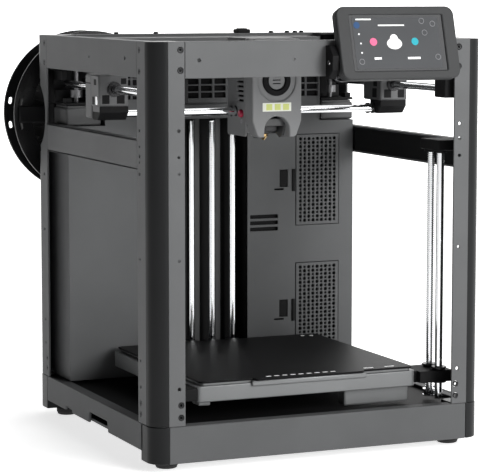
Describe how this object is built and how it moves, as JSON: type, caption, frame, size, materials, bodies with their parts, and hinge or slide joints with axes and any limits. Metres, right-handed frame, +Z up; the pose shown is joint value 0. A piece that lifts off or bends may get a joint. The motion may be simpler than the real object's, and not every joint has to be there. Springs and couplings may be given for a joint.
{
  "type": "fdm 3-d printer",
  "caption": "Open-frame fused-filament 3-D printer with sheet-metal corner posts, sliding gantry and tool head, lifting bed, tilting touchscreen and a rear filament reel.",
  "frame": {"origin": "centre of the bounding box in plan, on the plane the feet stand on", "axes": "+Z up, -Y towards the front with the screen, +X to the right seen from the front"},
  "size_m": [0.3856, 0.428, 0.4521],
  "materials": {
    "frame_paint": "satin grey powder coat",
    "grey_plastic": "fine texture",
    "black_plastic": "matte",
    "reel_black": "semi-gloss moulded",
    "rubber": "matte",
    "rod_steel": "ground and plated",
    "bed_alloy": "satin",
    "plate_black": "semi-gloss coated spring steel",
    "brass": "machined",
    "red_plastic": "moulded",
    "screen_glass": "gloss cover glass"
  },
  "bodies": {
    "frame": {"post_fl": "frame_paint", "post_fr": "frame_paint", "post_rl": "frame_paint", "post_rr": "frame_paint", "top_plate_front": "frame_paint", "top_plate_rear": "frame_paint", "top_plate_left": "frame_paint", "top_plate_right": "frame_paint", "mid_rail_left": "frame_paint", "mid_rail_right": "frame_paint", "rear_housing": "frame_paint", "grille_upper": "frame_paint", "grille_lower": "frame_paint", "rear_cover": "frame_paint", "base_housing": "grey_plastic", "xy_motor_left": "grey_plastic", "xy_motor_right": "grey_plastic", "foot_fl": "rubber", "foot_fr": "rubber", "foot_rl": "rubber", "foot_rr": "rubber", "belt_left": "rubber", "belt_right": "rubber", "z_top_block_left": "black_plastic", "z_top_block_right": "black_plastic", "power_inlet": "black_plastic", "idler_block_left": "black_plastic", "idler_block_right": "black_plastic", "rod_bracket_left": "black_plastic", "rod_bracket_right": "black_plastic", "screen_bracket": "black_plastic", "spool_holder": "black_plastic", "filament_sensor": "black_plastic", "guide_rod_rear_left": "rod_steel", "guide_rod_rear_right": "rod_steel", "guide_rod_front_left": "rod_steel", "guide_rod_front_right": "rod_steel", "y_rod_left": "rod_steel", "y_rod_right": "rod_steel"},
    "gantry": {"gantry_block_left": "black_plastic", "gantry_block_right": "black_plastic", "x_rod_front": "rod_steel", "x_rod_rear": "rod_steel"},
    "head": {"head_shell": "grey_plastic", "head_cover": "grey_plastic", "head_carriage": "black_plastic", "hotend": "brass"},
    "fan": {"fan_rotor": "black_plastic"},
    "button": {"release_button": "red_plastic"},
    "bed": {"bed_frame": "bed_alloy", "heated_bed": "bed_alloy"},
    "flex_plate": {"build_plate": "plate_black"},
    "screw_rear": {"lead_screw_rear": "rod_steel"},
    "screw_left": {"lead_screw_left": "rod_steel"},
    "screw_right": {"lead_screw_right": "rod_steel"},
    "reel": {"reel": "reel_black"},
    "screen": {"screen_housing": "grey_plastic", "screen_panel": "screen_glass"},
    "rocker": {"power_switch": "black_plastic"}
  },
  "joints": [
    {"name": "gantry_y", "type": "slide", "parent": "frame", "child": "gantry", "axis": [0, 1, 0], "range_m": [-0.11, 0.075]},
    {"name": "head_x", "type": "slide", "parent": "gantry", "child": "head", "axis": [1, 0, 0], "range_m": [-0.12, 0.1]},
    {"name": "bed_z", "type": "slide", "parent": "frame", "child": "bed", "axis": [0, 0, 1], "range_m": [0, 0.22]},
    {"name": "flex_plate_pull", "type": "slide", "parent": "bed", "child": "flex_plate", "axis": [0, -1, 0], "range_m": [0, 0.12]},
    {"name": "screw_rear_spin", "type": "hinge", "parent": "frame", "child": "screw_rear", "pos_m": [0.01125, 0.099, 0.06], "axis": [0, 0, 1], "range_deg": [-20, 9950]},
    {"name": "screw_left_spin", "type": "hinge", "parent": "frame", "child": "screw_left", "pos_m": [-0.13875, -0.135, 0.06], "axis": [0, 0, 1], "range_deg": [-20, 9950]},
    {"name": "screw_right_spin", "type": "hinge", "parent": "frame", "child": "screw_right", "pos_m": [0.16125, -0.135, 0.06], "axis": [0, 0, 1], "range_deg": [-20, 9950]},
    {"name": "fan_spin", "type": "hinge", "parent": "head", "child": "fan", "pos_m": [0.02125, -0.049, 0.374], "axis": [0, 1, 0], "continuous": true},
    {"name": "release_press", "type": "slide", "parent": "head", "child": "button", "axis": [1, 0, 0], "range_m": [0, 0.0015], "stiffness_N_per_m": 300, "springref_m": -0.002},
    {"name": "screen_tilt", "type": "hinge", "parent": "frame", "child": "screen", "pos_m": [0.08625, -0.193, 0.397], "axis": [1, 0, 0], "range_deg": [0, 10]},
    {"name": "reel_spin", "type": "hinge", "parent": "frame", "child": "reel", "pos_m": [-0.10175, 0.193, 0.3315], "axis": [0, 1, 0], "continuous": true},
    {"name": "power_rock", "type": "hinge", "parent": "frame", "child": "rocker", "pos_m": [0.13725, 0.16, 0.075], "axis": [1, 0, 0], "range_deg": [-6, 6]}
  ],
  "couplings": [
    {"joint": "screw_rear_spin", "follows": "bed_z", "rad_per_m": 785.4},
    {"joint": "screw_left_spin", "follows": "bed_z", "rad_per_m": 785.4},
    {"joint": "screw_right_spin", "follows": "bed_z", "rad_per_m": 785.4}
  ]
}
